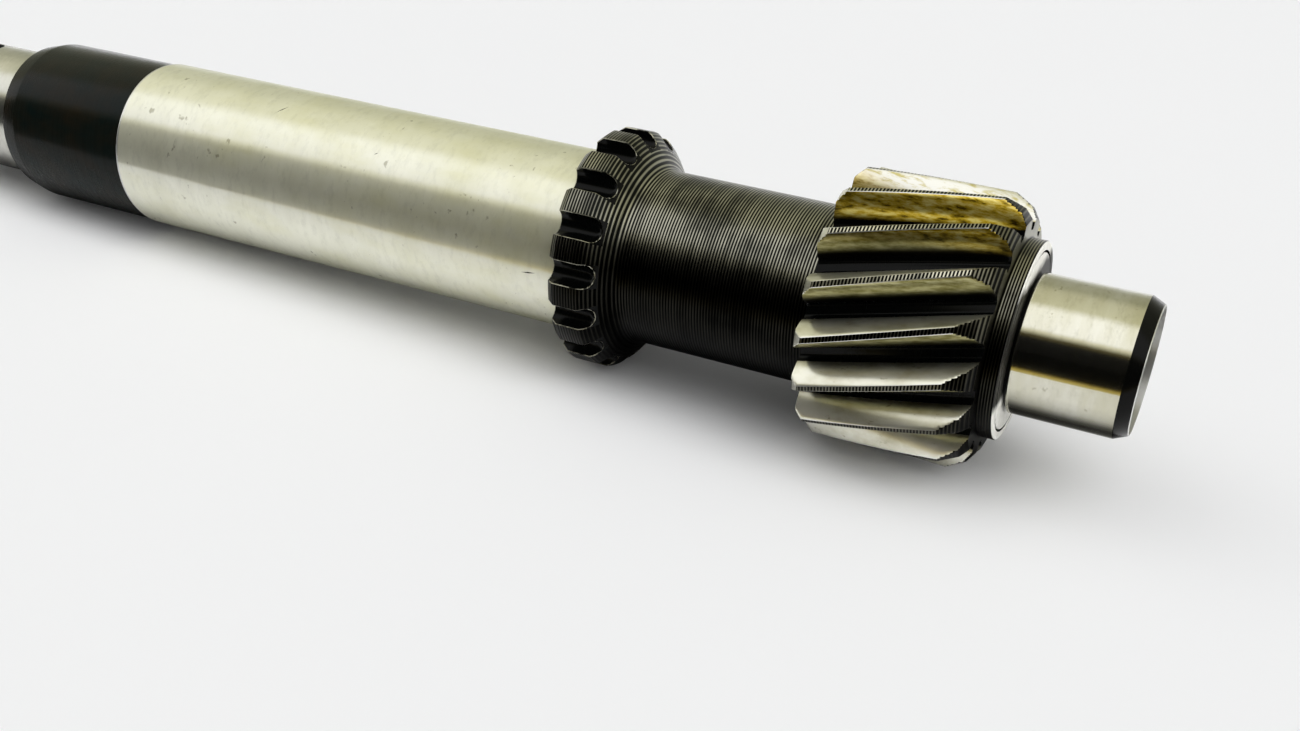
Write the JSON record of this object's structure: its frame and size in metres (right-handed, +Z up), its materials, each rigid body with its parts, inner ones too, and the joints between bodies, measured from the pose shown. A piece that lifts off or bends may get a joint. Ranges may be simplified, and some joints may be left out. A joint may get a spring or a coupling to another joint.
{
  "type": "helical pinion shaft",
  "caption": "Stepped shaft with ground main and pilot journals, carrying a free-running sleeve with a ring of dog clutch teeth and a left-hand helical pinion.",
  "frame": {"origin": "on the shaft axis, in the middle of the ground main journal", "axes": "+X along the shaft towards the pilot end, +Z up, keyway facing +Z"},
  "size_m": [0.2205, 0.0394, 0.0394],
  "materials": {
    "black_steel": "black heat-treated steel with turning marks",
    "ground_steel": "fine ground",
    "gear_steel": "ground flanks with an oil film, dark turned lands",
    "bronze": "satin bronze",
    "needle_steel": "polished",
    "spring_steel": "dark spring steel"
  },
  "bodies": {
    "arbor": {"arbor_shaft": "black_steel", "journal_sleeve": "ground_steel", "front_thrust_washer": "bronze", "needle_spacer": "spring_steel", "rear_thrust_washer": "ground_steel", "pilot_ring": "ground_steel", "nose_snap_ring": "spring_steel", "gallery_plug": "black_steel"},
    "pinion": {"dog_sleeve": "black_steel", "helical_pinion": "gear_steel", "pinion_dowels": "needle_steel"},
    "front_cage": {"front_needle_cage": "bronze", "front_needles": "needle_steel"},
    "rear_cage": {"rear_needle_cage": "bronze", "rear_needles": "needle_steel"}
  },
  "joints": [
    {"name": "pinion_spin", "type": "hinge", "parent": "arbor", "child": "pinion", "pos_m": [0, 0, 0], "axis": [1, 0, 0], "continuous": true},
    {"name": "front_cage_spin", "type": "hinge", "parent": "arbor", "child": "front_cage", "pos_m": [0.0519, 0, 0], "axis": [1, 0, 0], "continuous": true},
    {"name": "rear_cage_spin", "type": "hinge", "parent": "arbor", "child": "rear_cage", "pos_m": [0.1016, 0, 0], "axis": [1, 0, 0], "continuous": true}
  ],
  "couplings": [
    {"joint": "front_cage_spin", "follows": "pinion_spin", "ratio": 0.55},
    {"joint": "rear_cage_spin", "follows": "pinion_spin", "ratio": 0.55}
  ]
}
